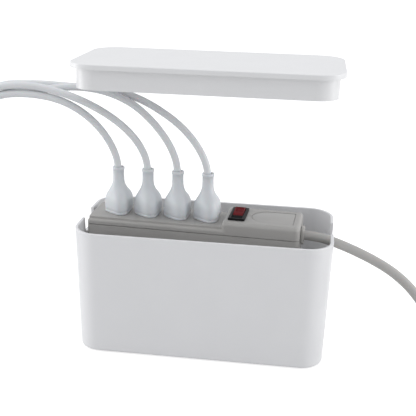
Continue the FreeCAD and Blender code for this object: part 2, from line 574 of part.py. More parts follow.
blade_seats = [box(f"blade_seat_{s}", "blade_wide + 2 * part_gap", "blade_thick + 2 * part_gap",
                   "blade_root + overrun", "blade_row", f"strip_middle + {s} * blade_spread / 2",
                   "plug_base - overrun") for s in (-1, 1)]
pin_seat = rod("pin_seat", "pin_radius + part_gap", "blade_root + overrun", "-pin_back", "strip_middle",
               "plug_base - overrun")
plug_solid = cut("plug_solid", fuse("plug_whole", [bottle, collar]), [cord_bore, pin_seat] + blade_seats)
blade_pair = [box(f"blade_{s}", "blade_wide", "blade_thick", "blade_out + blade_root - part_gap",
                  "blade_row", f"strip_middle + {s} * blade_spread / 2", "plug_base - blade_out")
              for s in (-1, 1)]
earth_pin = rod("earth_pin", "pin_radius", "pin_out + blade_root - part_gap", "-pin_back", "strip_middle",
                "plug_base - pin_out")
for i, x in zip(plugs, plug_places):
    nodes[f"plug_{i + 1}_body"] = group(f"plug_body_{i}", [plug_solid], x)
    nodes[f"plug_{i + 1}_blades"] = group(f"plug_blades_{i}", blade_pair, x)
    nodes[f"plug_{i + 1}_pin"] = group(f"plug_pin_{i}", [earth_pin], x)



# the strip lies a little askew in the tub, and all that is on it turns with it
def turned(name, thing):
    """The piece turned clockwise, seen from above, about the strip's middle."""
    whole = doc.addObject("Part::Compound", name)
    whole.Links = [thing]
    whole.Placement.Rotation = FreeCAD.Rotation(FreeCAD.Vector(0, 0, -1), sizes["strip_turn"])
    whole.setExpression("Placement.Rotation.Angle", full("strip_turn"))
    return place(whole, "strip_centre - strip_centre * cos(strip_turn) - strip_middle * sin(strip_turn)",
                 "strip_middle + strip_centre * sin(strip_turn) - strip_middle * cos(strip_turn)")


for name in [name for name in nodes if not name.startswith(("tub", "lid"))]:
    nodes[name] = turned(name + "_turned", nodes[name])

# cord routes, from the plug or the strain relief to the start of the put-away coil
cord_routes = [
    [(-86.3, 1.9, 154.6), (-86.3, 1.9, 169.5), (-91.3, 1.2, 184.5), (-99.1, -0.8, 198.5), (-110, -3.4, 211.5),
     (-124.5, -5.6, 222.5), (-142.5, -7, 230), (-166, -7.8, 233.3), (-195, -7.6, 231.5), (-217.3, -7.6, 218.6),
     (-230.2, -7.6, 196.3), (-232.2, -7.6, 170), (-232.8, -7.6, 138), (-233, -7.6, 104), (-232.2, -7.6, 70),
     (-230.2, -7.6, 38.4), (-243.1, -7.6, 16.1), (-265.4, -7.6, 4.05), (-291.5, -7.6, 4.05)],
    [(-57.6, 0.4, 154.6), (-57.6, 0.4, 170), (-63.1, -0.6, 185.5), (-72.4, -2.6, 199), (-85, -5, 211),
     (-100.5, -7, 221.3), (-119, -7.6, 230), (-139, -7.8, 236.5), (-165, -7.8, 241.3), (-197, -7.6, 239.1),
     (-222.9, -7.6, 224.2), (-237.8, -7.6, 198.3), (-239.8, -7.6, 170), (-240.4, -7.6, 138),
     (-240.6, -7.6, 104), (-239.8, -7.6, 70), (-237.8, -7.6, 40.4), (-248.7, -7.6, 22.5),
     (-267.4, -7.6, 11.65), (-291.5, -7.6, 11.65)],
    [(-29, -1.1, 154.6), (-29, -1.1, 170), (-34.5, -1, 186), (-43.5, -1, 200.5), (-55.5, -0.5, 214),
     (-70.5, 0, 226.3), (-89, 0.1, 235), (-109, 0, 239.5), (-130, -0.1, 240.1), (-150, -0.5, 237.2),
     (-171, -0.5, 233.1), (-195, 0, 231.5), (-217.3, 0, 218.6), (-230.2, 0, 196.3), (-232.2, 0, 170),
     (-232.8, 0, 138), (-233, 0, 104), (-232.2, 0, 70), (-230.2, 0, 38.4), (-243.1, 0, 16.1),
     (-265.4, 0, 4.05), (-291.5, 0, 4.05)],
    [(-0.3, -2.6, 154.6), (-0.3, -2.6, 169), (-6.5, -1.5, 184), (-16.8, 1, 198), (-31, 3, 211), (-48.5, 5, 222),
     (-67.5, 6.8, 231), (-88.5, 7.6, 236.5), (-111, 7.8, 238.5), (-134, 7.8, 238.8), (-158, 5.5, 240.3),
     (-178, 1.5, 240.3), (-197, 0, 239.1), (-222.9, 0, 224.2), (-237.8, 0, 198.3), (-239.8, 0, 170),
     (-240.4, 0, 138), (-240.6, 0, 104), (-239.8, 0, 70), (-237.8, 0, 40.4), (-248.7, 0, 22.5),
     (-267.4, 0, 11.65), (-291.5, 0, 11.65)],
]
lead_route = [(84.6, -7.02, 113.6), (103, -8, 113.6), (120, -8.6, 109), (137, -10, 103.2), (155, -11, 95.6),
              (174, -13.5, 86), (191, -17.5, 73), (205, -21, 56.5), (216, -24, 37.5), (229, -26.5, 18.5),
              (246, -27.8, 8.4), (262, -28, 5.6), (276, -28, 5.6)]
arc_share = 0.45


def arc_from(start, heading, end):
    """The arc that leaves a point along a heading and ends at another point."""
    chord = end - start
    along = FreeCAD.Vector(chord).normalize()
    turn = heading.getAngle(chord)
    if turn < 1e-6:
        return Part.LineSegment(start, end).toShape()
    bulge = (heading - along * heading.dot(along)).normalize()
    middle = (start + end) / 2 + bulge * (chord.Length / 2 * math.tan(turn / 2))
    return Part.Arc(start, middle, end).toShape()


def sweep(edges, radius):
    """A round tube along joined edges."""
    path = Part.Wire(edges)
    start = edges[0].valueAt(edges[0].FirstParameter)
    heading = edges[0].tangentAt(edges[0].FirstParameter)
    ring = Part.Wire([Part.Circle(start, heading, radius).toShape()])
    solid = path.makePipeShell([ring], True, False)
    if solid.Volume < 0:
        solid.reverse()
    return solid, path


def free_stretch(name, route, thick):
    """Straight runs joined by tangent arcs, with a tube along them."""
    points = [FreeCAD.Vector(*point) for point in route]
    edges = []
    at = points[0]
    radii = []
    for before, corner, after in zip(points, points[1:], points[2:]):
        come = corner - before
        go = after - corner
        turn = come.getAngle(go)
        reach = arc_share * min(come.Length, go.Length)
        radii.append(reach / math.tan(turn / 2))
        start = corner - FreeCAD.Vector(come).normalize() * reach
        end = corner + FreeCAD.Vector(go).normalize() * reach
        edges.append(Part.LineSegment(at, start).toShape())
        edges.append(arc_from(start, FreeCAD.Vector(come).normalize(), end))
        at = end
    edges.append(Part.LineSegment(at, points[-1]).toShape())
    solid, path = sweep(edges, thick / 2)
    ideal = math.pi * thick ** 2 / 4 * path.Length
    print(f"{name}: length {path.Length:.0f}, least radius {min(radii):.1f}, "
          f"volume {solid.Volume / ideal:.4f} of its section times its length")
    return feature(name, solid)


def feature(name, shape):
    thing = doc.addObject("Part::Feature", name)
    thing.Shape = shape
    return thing


def biarc(start, heading, end, arrival):
    """Two arcs that join two points with their headings."""
    chord = end - start
    both = heading + arrival
    across = chord.dot(both)
    bend = 2 * (1 - heading.dot(arrival))
    reach = (math.sqrt(across ** 2 + bend * chord.dot(chord)) - across) / bend
    middle = (start + end + (heading - arrival) * reach) / 2
    second = arc_from(end, arrival * -1, middle)
    return [arc_from(start, heading, middle), Part.Edge(second)]


def quarter_points(track, quarters):
    """Points and headings of a track at each quarter turn."""
    small_share = 1e-4
    found = []
    for i in range(quarters + 1):
        share = i / 4
        ahead = track(share + small_share) - track(share - small_share)
        found.append((track(share), ahead.normalize()))
    return found


def least_gap(track, number, thick, steps=60):
    """The least gap between a winding's turns, measured on points."""
    points = [track(i / steps) for i in range(int(number * steps) + 1)]
    apart = steps // 2
    return min(a.distanceToPoint(b) for i, a in enumerate(points) for b in points[i + apart:]) - thick


def winding(name, track, number, thick, ahead):
    """A wound tube with a straight end at each side, which runs ahead by one diameter."""
    found = quarter_points(track, int(number * 4))
    found[0] = (found[0][0], FreeCAD.Vector(ahead).normalize())
    found[-1] = (found[-1][0], found[0][1])
    edges = [Part.LineSegment(found[0][0] - ahead, found[0][0]).toShape()]
    for (a, a_way), (b, b_way) in zip(found, found[1:]):
        edges += biarc(a, a_way, b, b_way)
    edges.append(Part.LineSegment(found[-1][0], found[-1][0] + ahead).toShape())
    solid, path = sweep(Part.__sortEdges__(edges), thick / 2)
    print(f"{name}: length {path.Length:.0f}, least gap {least_gap(track, number, thick):.2f}")
    return feature(name, solid)


# the four device cords wind together, two by two, so each follows its own radius and layer
cord_thick = sizes["cord_thick"]
coil_step = sizes["coil_step"]
climb_start_share = 0.1
climb_share = 0.7
cord_ahead = FreeCAD.Vector(-cord_thick, 0, 0)
coil_middle = FreeCAD.Vector(cord_routes[0][-1][0] - cord_thick, cord_routes[2][-1][1] + sizes["coil_inner"], 0)


def ease(share):
    """Rises smoothly from 0 to 1 while the share does."""
    share = min(max(share, 0), 1)
    return share * share * (3 - 2 * share)


def cord_track(radius, base):
    """Each turn climbs by the bundle's height before it comes back over its own start."""
    def at(turn):
        angle = -math.pi / 2 - 2 * math.pi * turn
        rise = turn // 1 + ease((turn % 1 - climb_start_share) / climb_share)
        return coil_middle + FreeCAD.Vector(radius * math.cos(angle), radius * math.sin(angle),
                                            base + 2 * coil_step * rise)
    return at


for i in plugs:
    end = FreeCAD.Vector(*cord_routes[i][-1])
    radius = coil_middle.y - end.y
    track = cord_track(radius, end.z)
    nodes[f"cord_{i + 1}_run"] = free_stretch(f"cord_run_{i}", cord_routes[i], cord_thick)
    nodes[f"cord_{i + 1}_coil"] = winding(f"cord_coil_{i}", track, coil_turns, cord_thick, cord_ahead)
    tail = track(coil_turns) + cord_ahead
    barrel = bind(doc.addObject("Part::Cylinder", f"barrel_{i}"), Radius="barrel_radius", Height="barrel_long")
    tip = bind(doc.addObject("Part::Cylinder", f"tip_{i}"), Radius="tip_radius", Height="barrel_long + tip_long")
    for thing in (barrel, tip):
        thing.Placement = FreeCAD.Placement(tail, FreeCAD.Rotation(FreeCAD.Vector(0, 1, 0), -90))
    nodes[f"cord_{i + 1}_connector"] = fuse(f"connector_{i}", [barrel, tip])

# the lead's coil spirals in on the lower layer and out on the upper one, and its end climbs to the plug
lead_thick = sizes["lead_thick"]
lead_step = sizes["lead_step"]
lead_outer = sizes["lead_coil_outer"]
lead_end = FreeCAD.Vector(*lead_route[-1])
lead_middle = FreeCAD.Vector(lead_end.x + lead_thick, lead_end.y + lead_outer, 0)
plug_climb = (sizes["end_height"] - lead_thick) / 2 + lead_thick + sizes["tie_gap"] + sizes["tie_wall"]


def lead_track(turn):
    half = lead_turns / 2
    radius = lead_outer - lead_step * (half - abs(turn - half))
    angle = -math.pi / 2 + 2 * math.pi * turn
    height = lead_end.z + lead_step * ease((turn - half) * 2 + 0.5)
    height += plug_climb * ease((turn - lead_turns + 0.5) * 2)
    return lead_middle + FreeCAD.Vector(radius * math.cos(angle), radius * math.sin(angle), height)


nodes["lead_run"] = free_stretch("lead_free", lead_route, lead_thick)
lead_ahead = FreeCAD.Vector(lead_thick, 0, 0)
nodes["lead_coil"] = winding("lead_winding", lead_track, lead_turns, lead_thick, lead_ahead)
lead_tail = lead_track(lead_turns) + lead_ahead


def at_tail(thing, along="0", across="0", up="0"):
    """Puts a piece of the lead's plug on the lead's end, which points along X."""
    for axis, rule, base in zip("xyz", (along, across, up), lead_tail):
        thing.setExpression("Placement.Base." + axis, full(f"{base:.6f} + {rule}"))
    return thing


end_body = at_tail(bind(doc.addObject("Part::Box", "end_body"), Length="end_long - end_neck", Width="end_width",
                        Height="end_height"), "end_neck", "-end_width / 2", "-end_height / 2")
end_soft = rounded("end_soft", end_body, "end_round", lambda e: e.BoundBox.XLength > tolerance)
end_collar = bind(doc.addObject("Part::Cylinder", "end_collar"), Radius="lead_thick / 2 + end_collar_wall",
                  Height="2 * end_neck")
end_collar.Placement.Rotation = turns["x"]
at_tail(end_collar)
face = "end_long"
seats = []
pins = []
for s in (-1, 1):
    seats.append(at_tail(bind(doc.addObject("Part::Box", f"end_seat_{s}"), Length="blade_root + overrun",
                              Width="blade_thick + 2 * part_gap", Height="blade_wide + 2 * part_gap"),
                         f"{face} - blade_root", f"({s} * blade_spread / 2) - blade_thick / 2 - part_gap",
                         "blade_row - blade_wide / 2 - part_gap"))
    pins.append(at_tail(bind(doc.addObject("Part::Box", f"end_blade_{s}"), Length="blade_root + blade_out",
                             Width="blade_thick", Height="blade_wide"),
                        f"{face} - blade_root + part_gap", f"({s} * blade_spread / 2) - blade_thick / 2",
                        "blade_row - blade_wide / 2"))
end_pin = bind(doc.addObject("Part::Cylinder", "end_pin"), Radius="pin_radius", Height="blade_root + pin_out")
end_pin_seat = bind(doc.addObject("Part::Cylinder", "end_pin_seat"), Radius="pin_radius + part_gap",
                    Height="blade_root + overrun")
for thing, along in ((end_pin, f"{face} - blade_root + part_gap"), (end_pin_seat, f"{face} - blade_root")):
    thing.Placement.Rotation = turns["x"]
    at_tail(thing, along, "0", "-pin_back + part_gap")
nodes["lead_plug_body"] = cut("end_plug", fuse("end_whole", [end_soft, end_collar]), seats + [end_pin_seat])
nodes["lead_plug_blades"] = group("end_blades", pins)
nodes["lead_plug_pin"] = group("end_pin_alone", [end_pin])


# a band round each coil at its far side, and one round the four cords where their coil starts
def band(name, wide, wall, low, high):
    """A closed flat band along X round a space, from its lowest to its highest corner."""
    long = FreeCAD.Vector(wide, 0, 0)
    skin = FreeCAD.Vector(0, wall, wall)
    room = high - low
    hole = Part.makeBox(wide, room.y, room.z, low - long / 2)
    shell = Part.makeBox(wide, room.y + 2 * wall, room.z + 2 * wall, low - long / 2 - skin)
    return feature(name, shell.cut(hole))


def corner(x, y, z, outward, gap):
    """A corner of a bundle's space, moved outwards by the gap."""
    return FreeCAD.Vector(x, y + outward * gap, z + outward * gap)


half_cord = cord_thick / 2
tie_gap = sizes["tie_gap"]
wide = sizes["tie_wide"]
coil_inner = sizes["coil_inner"]
bulge = wide ** 2 / 8 / coil_inner
band_share = wide / 4 / math.pi / coil_inner
first = FreeCAD.Vector(*cord_routes[0][-1])
last = FreeCAD.Vector(*cord_routes[3][-1])
lowest = cord_track(coil_inner, first.z)(0.5 - band_share).z - half_cord
highest = cord_track(coil_inner, last.z)(coil_turns - 0.5 + band_share).z + half_cord
nodes["cord_tie"] = band(
    "cord_band", wide, sizes["tie_wall"],
    corner(coil_middle.x, coil_middle.y + coil_inner - half_cord - bulge, lowest, -1, tie_gap),
    corner(coil_middle.x, 2 * coil_middle.y - first.y + half_cord, highest, 1, tie_gap))
nodes["cord_wrap"] = band(
    "cord_wrap", sizes["wrap_long"], sizes["wrap_wall"],
    corner(first.x, first.y - half_cord, first.z - half_cord, -1, sizes["wrap_gap"]),
    corner(first.x, last.y + half_cord, last.z + half_cord, 1, sizes["wrap_gap"]))
half_lead = lead_thick / 2
nodes["lead_tie"] = band(
    "lead_band", wide, sizes["tie_wall"],
    corner(lead_middle.x, lead_middle.y + lead_outer - 1.5 * lead_step - half_lead - bulge,
           lead_end.z - half_lead, -1, tie_gap),
    corner(lead_middle.x, lead_middle.y + lead_outer - 0.5 * lead_step + half_lead + bulge / 2,
           lead_end.z + lead_step + half_lead + bulge, 1, tie_gap))

# checks, then the files
doc.removeObject("Gauge")
doc.recompute()
for thing in doc.Objects:
    if "Invalid" in thing.State or "Error" in thing.State:
        raise RuntimeError(f"{thing.Name} failed: {thing.State}")
for name, thing in nodes.items():
    thing.Label = name
    shape = thing.Shape
    if shape.isNull() or not shape.isValid():
        raise RuntimeError(f"{name} has no valid shape")
    if len(shape.Solids) > 1:
        print(f"{name}: {len(shape.Solids)} solids")
    shape.exportStep(f"parts/{name}.step")
print(f"{len(nodes)} nodes written")
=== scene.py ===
import bpy
import bmesh
import math
from mathutils import Matrix, Vector


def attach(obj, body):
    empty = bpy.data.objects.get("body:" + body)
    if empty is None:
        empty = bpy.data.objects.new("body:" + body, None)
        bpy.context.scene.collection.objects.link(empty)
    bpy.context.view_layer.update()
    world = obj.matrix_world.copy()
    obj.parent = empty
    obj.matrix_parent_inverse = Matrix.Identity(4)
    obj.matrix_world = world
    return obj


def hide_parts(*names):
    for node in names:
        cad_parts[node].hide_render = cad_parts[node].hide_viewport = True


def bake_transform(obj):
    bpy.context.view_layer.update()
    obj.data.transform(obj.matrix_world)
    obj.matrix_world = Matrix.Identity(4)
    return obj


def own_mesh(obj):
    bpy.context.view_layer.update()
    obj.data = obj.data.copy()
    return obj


# A white cable box with its lid lifted off and a power strip raised to its rim. The scene is in metres, in the
# CAD's frame; sizes below are written in millimetres and brought to metres by MM.
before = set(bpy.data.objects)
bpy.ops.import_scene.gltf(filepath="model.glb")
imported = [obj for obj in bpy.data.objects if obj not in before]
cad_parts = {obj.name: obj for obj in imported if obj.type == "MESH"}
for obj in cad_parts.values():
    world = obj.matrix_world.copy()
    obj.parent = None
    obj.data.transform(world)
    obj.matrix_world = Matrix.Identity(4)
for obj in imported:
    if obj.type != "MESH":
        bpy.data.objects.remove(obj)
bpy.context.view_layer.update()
scene = bpy.context.scene
MM = 0.001


# Camera
# It stands where the photograph was taken from: a little to the right of the box and above it, and slightly
# rolled.
CAMERA_TURN = math.radians(7.44)
CAMERA_RISE = math.radians(18.80)
CAMERA_ROLL = math.radians(1.37)
CAMERA_DISTANCE = 0.74884
CAMERA_AIM = Vector((-0.00009, 0, 0.13125))

towards_camera = Vector((math.sin(CAMERA_TURN) * math.cos(CAMERA_RISE),
                         -math.cos(CAMERA_TURN) * math.cos(CAMERA_RISE), math.sin(CAMERA_RISE)))
level_right = Vector((math.cos(CAMERA_TURN), math.sin(CAMERA_TURN), 0))
level_up = towards_camera.cross(level_right)
camera_right = level_right * math.cos(CAMERA_ROLL) + level_up * math.sin(CAMERA_ROLL)
camera_up = level_up * math.cos(CAMERA_ROLL) - level_right * math.sin(CAMERA_ROLL)
camera = bpy.data.objects.new("camera", bpy.data.cameras.new("camera"))
camera.data.lens = 68.84
camera.data.sensor_width = 36
camera.data.clip_start = 0.01
camera.matrix_world = Matrix.Translation(CAMERA_AIM + towards_camera * CAMERA_DISTANCE) @ Matrix(
    [camera_right, camera_up, towards_camera]).transposed().to_4x4()
scene.collection.objects.link(camera)
scene.camera = camera


# Tub
# The open box, one injection moulding of white polypropylene with a satin skin, drafted walls, a slot at each
# end for cords and a softened rim. Its solid has the real shape, so it only gets its plastic here.
TUB_WHITE = (0.8, 0.8, 0.81)
TUB_ROUGH = 0.4


class Value:
    """A socket of a plastic, metal or rubber; sums and products of it add Math nodes."""

    def __init__(self, finish, socket):
        self.finish = finish
        self.socket = socket

    def math(self, kind, *parts):
        return self.finish.node("ShaderNodeMath", {"operation": kind}, dict(enumerate(parts)))

    def __add__(self, other):
        return self.math("ADD", self, other)

    def __sub__(self, other):
        return self.math("SUBTRACT", self, other)

    def __mul__(self, other):
        return self.math("MULTIPLY", self, other)

    def __rsub__(self, other):
        return self.math("SUBTRACT", other, self)

    __radd__ = __add__
    __rmul__ = __mul__

    def rise(self, low, high):
        """0 below low, 1 above high, and smooth between."""
        return self.finish.node("ShaderNodeMapRange", {"interpolation_type": "SMOOTHSTEP"},
                                {"Value": self, "From Min": low, "From Max": high})


class Finish:
    """A material on the standard shader, in object coordinates."""

    def __init__(self, name, colour, rough, **numbers):
        self.material = bpy.data.materials.new(name)
        self.material.use_nodes = True
        self.material.diffuse_color = (*colour, 1)
        self.tree = self.material.node_tree
        self.shader = self.tree.nodes["Principled BSDF"]
        self.colour = (*colour, 1)
        self.set("Base Color", self.colour)
        self.set("Roughness", rough)
        for word, number in numbers.items():
            self.set(word.replace("_", " "), number)
        self.place = self.node("ShaderNodeTexCoord", output="Object")

    def node(self, kind, settings=None, sockets=None, output=0):
        """Adds a node: its settings first, then a value or a link for each named socket."""
        node = self.tree.nodes.new(kind)
        for word, setting in (settings or {}).items():
            setattr(node, word, setting)
        for word, given in (sockets or {}).items():
            if isinstance(given, Value):
                self.tree.links.new(given.socket, node.inputs[word])
            else:
                node.inputs[word].default_value = given
        return Value(self, node.outputs[output])

    def set(self, word, given):
        """A number or colour goes on the shader's own socket, and a pattern is linked to it."""
        slot = self.shader.inputs[word]
        if isinstance(given, Value):
            self.tree.links.new(given.socket, slot)
        else:
            slot.default_value = given
        return self

    def grain(self, size, detail=2, stretch=(1, 1, 1), turned=0):
        """A noise with grains of about this size in millimetres, drawn out by the stretch."""
        scale = tuple(1 / (part * size * MM) for part in stretch)
        across = self.node("ShaderNodeMapping", {}, {"Vector": self.place, "Scale": scale,
                                                     "Rotation": (0, 0, turned)})
        return self.node("ShaderNodeTexNoise", {}, {"Vector": across, "Scale": 1, "Detail": detail})

    def tint(self, share, colour):
        """Turns the colour towards another one by a share."""
        slot = self.shader.inputs["Base Color"]
        before = Value(self, slot.links[0].from_socket) if slot.is_linked else self.colour
        return self.set("Base Color", self.node(
            "ShaderNodeMix", {"data_type": "RGBA"}, {"Factor": share, "A": before, "B": (*colour, 1)}, "Result"))

    def bump(self, height, depth, strength=0.5):
        """Raises the surface by a pattern, at most by the depth in millimetres."""
        slot = self.shader.inputs["Normal"]
        sockets = {"Height": height, "Distance": depth * MM, "Strength": strength}
        if slot.is_linked:
            sockets["Normal"] = Value(self, slot.links[0].from_socket)
        return self.set("Normal", self.node("ShaderNodeBump", {}, sockets))


def moulded(name, colour, rough, grain=0.55, depth=0.025, shade=0.95, **numbers):
    """Moulded plastic: a fine sparked grain, faint clouds of flow and an uneven gloss."""
    finish = Finish(name, colour, rough, **numbers)
    fine = finish.grain(grain, 3)
    cloud = finish.grain(38, 3)
    finish.tint(cloud.rise(0.35, 0.7) * 0.5, [part * shade for part in colour])
    finish.tint(fine.rise(0.52, 0.75) * 0.3, [part * shade * 0.96 for part in colour])
    finish.set("Roughness", cloud * 0.1 + fine * 0.1 + (rough - 0.1))
    return finish.bump(fine, depth, 0.4)


def dress(finish, *names):
    """Gives the CAD's own pieces a finish."""
    for name in names:
        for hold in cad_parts[name].material_slots:
            hold.material = finish.material


dress(moulded("tub polypropylene", TUB_WHITE, TUB_ROUGH, 0.6, 0.02, 0.975, Coat_Weight=0.12,
              Coat_Roughness=0.3), "tub")


# Feet
# Four black rubber discs pressed into seats under the tub's corners. They are dull and slightly gritty.
dress(moulded("foot rubber", (0.035, 0.035, 0.037), 0.75, 0.4, 0.06, 0.7), "tub_feet")


# Lid
# A flat plate with a skirt that drops inside the rim, moulded from the same white plastic as the tub but a
# little brighter. It is loose, and here it is lifted off.
LID_WHITE = (0.81, 0.81, 0.815)
dress(moulded("lid polypropylene", LID_WHITE, 0.36, 0.6, 0.018, 0.975, Coat_Weight=0.15, Coat_Roughness=0.28),
      "lid")


# Strip's lower cover
# The power strip's tray, moulded from warm grey ABS. Six steel screws go up through it into the upper cover's
# posts, and two keyholes in its floor let it hang on a wall.
LOWER_GREY = (0.44, 0.43, 0.415)
dress(moulded("lower cover plastic", LOWER_GREY, 0.46, 0.5, 0.03, 0.93), "strip_lower")


def rolled(name, colour, rough, turned=0):
    """Bare sheet metal with faint rolling lines along it."""
    finish = Finish(name, colour, rough, Metallic=1)
    lines = finish.grain(1.1, 2, (14, 1, 1), turned)
    finish.tint(lines.rise(0.4, 0.8) * 0.5, [part * 0.78 for part in colour])
    finish.set("Roughness", lines * 0.2 + (rough - 0.1))
    return finish.bump(lines, 0.01, 0.3)


dress(rolled("screw steel", (0.55, 0.55, 0.56), 0.32), "strip_screws")


# Contact bars
# Three stamped brass bars run under the sockets: two carry a pair of spring leaves for each blade, and the
# third a ring for each earth pin. The switch's tabs are cut from the same brass.
dress(rolled("contact brass", (0.72, 0.53, 0.25), 0.35), "bar_live", "bar_neutral", "bar_earth",
      "switch_terminals")


# Surge protection
# A small circuit board on four posts, with three varistor discs in blue epoxy and a film capacitor in a yellow
# case soldered to it.
dress(moulded("circuit board", (0.03, 0.16, 0.06), 0.4, 1.2, 0.03, 0.6), "surge_board")
dress(moulded("varistor epoxy", (0.03, 0.08, 0.25), 0.35, 1.4, 0.08, 0.75), "varistors")
dress(moulded("capacitor case", (0.55, 0.38, 0.06), 0.4, 0.9, 0.03, 0.88), "noise_capacitor")


# Strip's upper cover
# The visible cover of the strip, in a paler grey ABS than its tray: a raised socket face with a ledge round it,
# and a higher part at the right for the switch. It closes over the tray with a fine seam.
UPPER_GREY = (0.42, 0.41, 0.395)
dress(moulded("upper cover plastic", UPPER_GREY, 0.44, 0.5, 0.03, 0.94), "strip_upper")


# Rocker switch
# A black nylon housing snapped into the upper cover, with a bezel round a well. In it rocks a red translucent
# cap whose pressed near end is painted black as painted shade, and a small neon lamp under it.
STRIP_MIDDLE = Vector((-11.15, -2, 0))
STRIP_TURN = math.radians(3)
SWITCH_X = 29.5
SWITCH_FACE = 127.9
PART_GAP = 0.05
BEZEL = (15.5, 34, 2)
BEZEL_CORNER = 1.4
HOUSING = (13.5, 32)
HOUSING_BOTTOM = 110.9
WELL = (10, 29)
WELL_FLOOR = 112.9
OUTER_ROUND = 0.8
INNER_ROUND = 0.4
WELL_CORNER = 0.6
PIVOT = Vector((SWITCH_X, -2, 128.35))
ROCKER_WIDE = 9.4
CAP_ROUND = 0.35
# where the painted shade on the cap's near end begins and where it is fully black, in millimetres before the pivot
PAINTED_SHADE_BEGINS = 5.3
PAINTED_SHADE_FULL = 4.6
SWITCH_BLACK = (0.009, 0.009, 0.01)
ROCKER_RED = (0.13, 0.004, 0.007)

lie_askew = (Matrix.Scale(MM, 4) @ Matrix.Translation(STRIP_MIDDLE) @ Matrix.Rotation(-STRIP_TURN, 4, "Z")
             @ Matrix.Translation(-STRIP_MIDDLE))
lie_straight = Matrix.Scale(MM, 4)


def finished(name, mesh, finish, body, crease=40):
    """A piece with one finish that rides on a body; edges sharper than the crease stay crisp."""
    shape = bmesh.new()
    shape.from_mesh(mesh)
    bmesh.ops.remove_doubles(shape, verts=shape.verts, dist=1e-7)
    bmesh.ops.recalc_face_normals(shape, faces=shape.faces)
    shape.to_mesh(mesh)
    shape.free()
    mesh.shade_smooth()
    mesh.set_sharp_from_angle(angle=math.radians(crease))
    mesh.materials.clear()
    mesh.materials.append(finish.material)
    thing = bpy.data.objects.new(name, mesh)
    scene.collection.objects.link(thing)
    if body:
        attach(thing, body)
    return thing


def skin(name, rings, lie=lie_askew):
    """A closed mesh over a row of rings that have the same number of points, in millimetres."""
    around = len(rings[0])
    verts = [lie @ Vector(point) for ring in rings for point in ring]
    faces = [tuple(range(around)), tuple(range(len(verts) - around, len(verts)))]
    for row in range(len(rings) - 1):
        for i in range(around):
            j = (i + 1) % around
            faces.append((row * around + i, row * around + j, (row + 1) * around + j, (row + 1) * around + i))
    mesh = bpy.data.meshes.new(name)
    mesh.from_pydata(verts, [], faces)
    return mesh


def circle(sides):
    """The cosine and sine at even steps round a circle."""
    return [(math.cos(math.tau * i / sides), math.sin(math.tau * i / sides)) for i in range(sides)]


def round_corners(long, wide, corner, steps=5):
    """The outline of a rectangle with round corners, about its middle."""
    corner = max(corner, 0.05)
    points = []
    for quarter, (a, b) in enumerate(((1, 1), (-1, 1), (-1, -1), (1, -1))):
        for step in range(steps + 1):
            angle = math.pi / 2 * (quarter + step / steps)
            points.append((a * (long / 2 - corner) + corner * math.cos(angle),
                           b * (wide / 2 - corner) + corner * math.sin(angle)))
    return points


def bezel_ring(long, wide, corner, height):
    return [(SWITCH_X + x, STRIP_MIDDLE.y + y, height) for x, y in round_corners(long, wide, corner)]


bezel_base = SWITCH_FACE + PART_GAP
bezel_top = bezel_base + BEZEL[2]
edge_steps = [math.radians(angle) for angle in (0, 30, 60, 90)]
housing_rings = [bezel_ring(*HOUSING, OUTER_ROUND, HOUSING_BOTTOM),
                 bezel_ring(*HOUSING, OUTER_ROUND, bezel_base),
                 bezel_ring(BEZEL[0], BEZEL[1], BEZEL_CORNER, bezel_base)]
for angle in edge_steps:
    shrink = OUTER_ROUND * (1 - math.cos(angle))
    housing_rings.append(bezel_ring(BEZEL[0] - 2 * shrink, BEZEL[1] - 2 * shrink, BEZEL_CORNER - shrink,
                                    bezel_top - OUTER_ROUND * (1 - math.sin(angle))))
for angle in reversed(edge_steps):
    shrink = INNER_ROUND * (1 - math.cos(angle))
    housing_rings.append(bezel_ring(WELL[0] + 2 * shrink, WELL[1] + 2 * shrink, WELL_CORNER + shrink,
                                    bezel_top - INNER_ROUND * (1 - math.sin(angle))))
housing_rings.append(bezel_ring(*WELL, WELL_CORNER, WELL_FLOOR))
switch_nylon = moulded("switch nylon", SWITCH_BLACK, 0.4, 0.5, 0.02, 0.8, Specular_IOR_Level=0.1)
housing = finished("switch_surround", skin("switch_surround", housing_rings), switch_nylon, "strip")
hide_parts("switch_housing")

# the cap's side outline, along the strip's depth and up from the pivot: raised at the far end
cap_outline = [(-13.75, -0.55), (-13.2, -0.35), (-1.4, 1.5), (0, 1.8), (1.4, 1.94), (12.9, 3.05), (13.4, 2.95),
               (13.75, 2.4), (13.85, 0), (2.5, -5), (-2.5, -5), (-13.4, -3.6)]
half_cap = ROCKER_WIDE / 2
cap_mesh = skin("rocker_cap", [[(PIVOT.x + x, PIVOT.y + y, PIVOT.z + z) for y, z in cap_outline]
                               for x in (-half_cap, half_cap)])
cap = bpy.data.objects.new("rocker_cap", cap_mesh)
scene.collection.objects.link(cap)
edges = cap.modifiers.new("soft edges", "BEVEL")
edges.width = CAP_ROUND * MM
edges.segments = 3
edges.limit_method = "ANGLE"
edges.angle_limit = math.radians(30)
cap_mesh = bpy.data.meshes.new_from_object(cap.evaluated_get(bpy.context.evaluated_depsgraph_get()))
bpy.data.objects.remove(cap)

